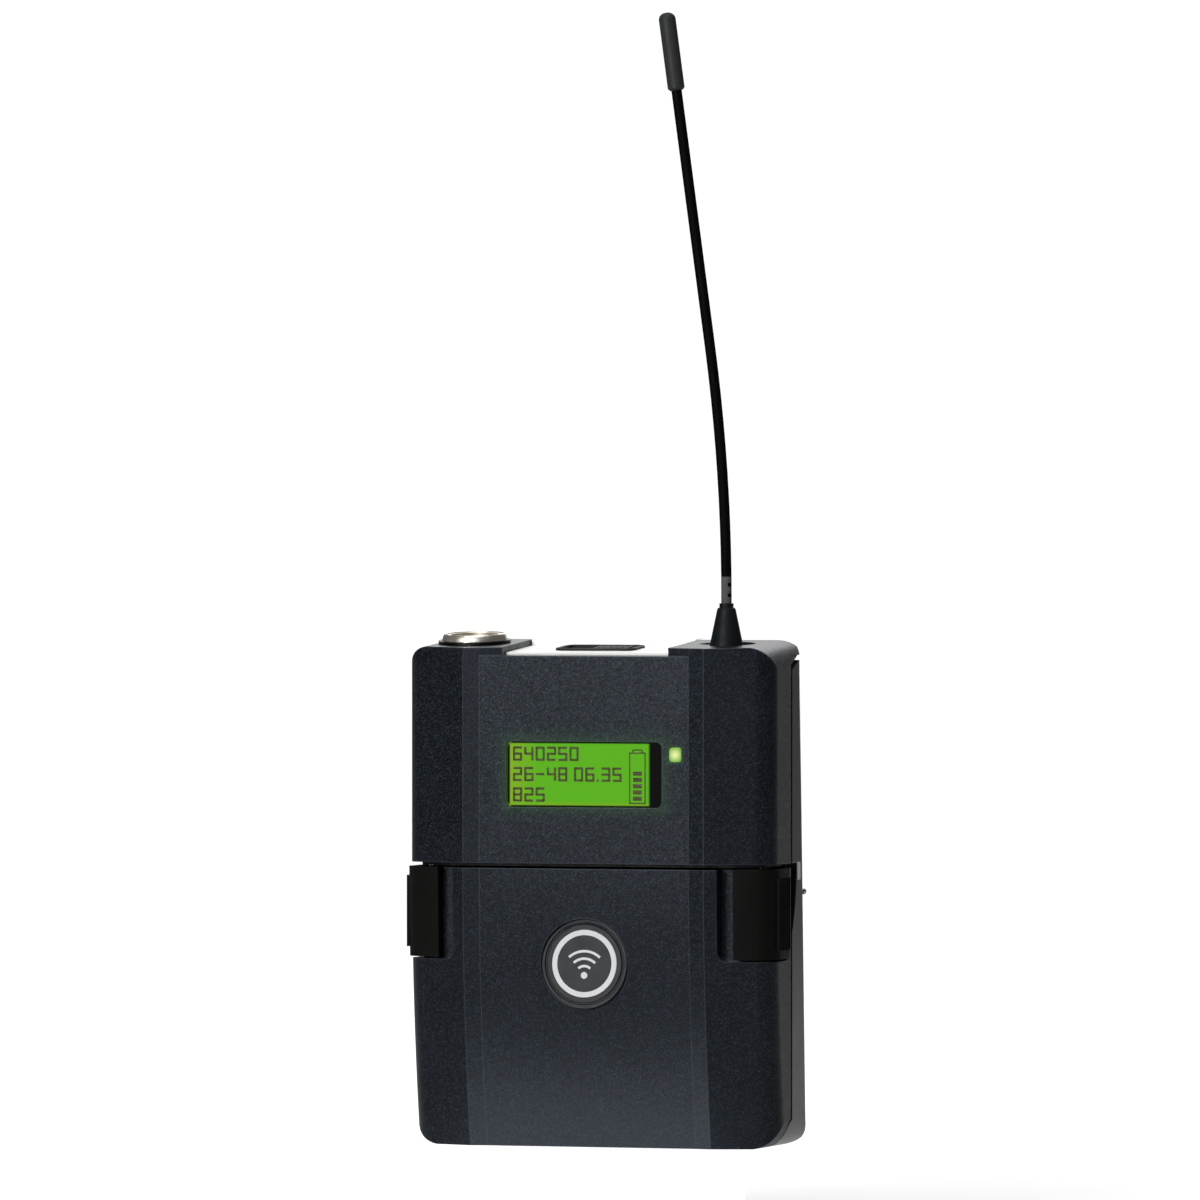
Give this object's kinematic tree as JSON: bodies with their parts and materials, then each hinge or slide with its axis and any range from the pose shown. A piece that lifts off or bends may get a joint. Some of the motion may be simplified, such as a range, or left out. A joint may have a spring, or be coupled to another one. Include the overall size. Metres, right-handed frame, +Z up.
{
  "type": "wireless guitar transmitter",
  "caption": "Belt-pack transmitter with a whip antenna, screw-ring input socket, lit display, hinged battery door with side latches, slide switch and sprung belt clip.",
  "frame": {"origin": "middle of the base of the whole pack, belt clip included", "axes": "+Z up towards the antenna, -Y towards the front with the display, +X to the right seen from the front"},
  "size_m": [0.0634, 0.031, 0.1834],
  "materials": {
    "painted_shell": "satin metallic paint",
    "gloss_black": "gloss",
    "badge_black": "satin",
    "latch_black": "matte",
    "spring_steel": "satin",
    "steel_pin": "satin",
    "clear_lens": "clear",
    "display_green": "backlit",
    "light_pipe": "backlit",
    "pale_insert": "gloss",
    "switch_black": "matte",
    "dark_metal": "dark",
    "nickel": "bright",
    "gold_contact": "bright",
    "antenna_rubber": "matte",
    "circuit_board": "solder mask",
    "tin_plate": "satin",
    "inner_black": "matte",
    "cell_jacket": "printed sleeve",
    "clip_black": "satin",
    "screw_black": "black zinc"
  },
  "bodies": {
    "root": {"upper_housing": "painted_shell", "rear_housing": "gloss_black", "latch_strikes": "spring_steel", "hinge_pin": "steel_pin", "display_lens": "clear_lens", "display_module": "display_green", "status_light": "light_pipe", "top_insert": "pale_insert", "power_switch": "switch_black", "socket_flange": "dark_metal", "socket_nut": "nickel", "socket_shell": "nickel", "socket_insulator": "switch_black", "socket_pins": "gold_contact", "antenna_boot": "antenna_rubber", "antenna_collar": "antenna_rubber", "antenna_whip": "antenna_rubber", "antenna_cap": "antenna_rubber", "main_board": "circuit_board", "shield_can": "tin_plate", "bay_roof": "inner_black", "cell_cradle": "inner_black", "cell_lower": "cell_jacket", "cell_upper": "cell_jacket", "contact_springs": "nickel", "contact_plates": "nickel", "charging_contact_left": "nickel", "charging_contact_right": "nickel", "clip_pin": "steel_pin", "clip_spring": "spring_steel", "housing_screws": "screw_black"},
    "door": {"battery_door": "painted_shell", "badge_disc": "badge_black", "latch_spring_left": "spring_steel", "latch_spring_right": "spring_steel"},
    "left_latch": {"latch_left": "latch_black"},
    "right_latch": {"latch_right": "latch_black"},
    "slider": {"power_slider": "switch_black"},
    "clip": {"belt_clip": "clip_black"}
  },
  "joints": [
    {"name": "door_hinge", "type": "hinge", "parent": "root", "child": "door", "pos_m": [0, -0.0011, 0.002], "axis": [1, 0, 0], "range_deg": [0, 90]},
    {"name": "latch_left_press", "type": "slide", "parent": "door", "child": "left_latch", "axis": [1, 0, 0], "range_m": [0, 0.0018], "stiffness_N_per_m": 400, "springref_m": -0.002, "deforming": ["latch_spring_left"]},
    {"name": "latch_right_press", "type": "slide", "parent": "door", "child": "right_latch", "axis": [-1, 0, 0], "range_m": [0, 0.0018], "stiffness_N_per_m": 400, "springref_m": -0.002, "deforming": ["latch_spring_right"]},
    {"name": "power_switch_slide", "type": "slide", "parent": "root", "child": "slider", "axis": [-1, 0, 0], "range_m": [0, 0.0045]},
    {"name": "belt_clip_swing", "type": "hinge", "parent": "root", "child": "clip", "pos_m": [0, 0.0096, 0.04102], "axis": [1, 0, 0], "range_deg": [0, 20], "stiffness_Nm_per_rad": 0.35, "springref_deg": -20.05, "deforming": ["clip_spring"]}
  ]
}
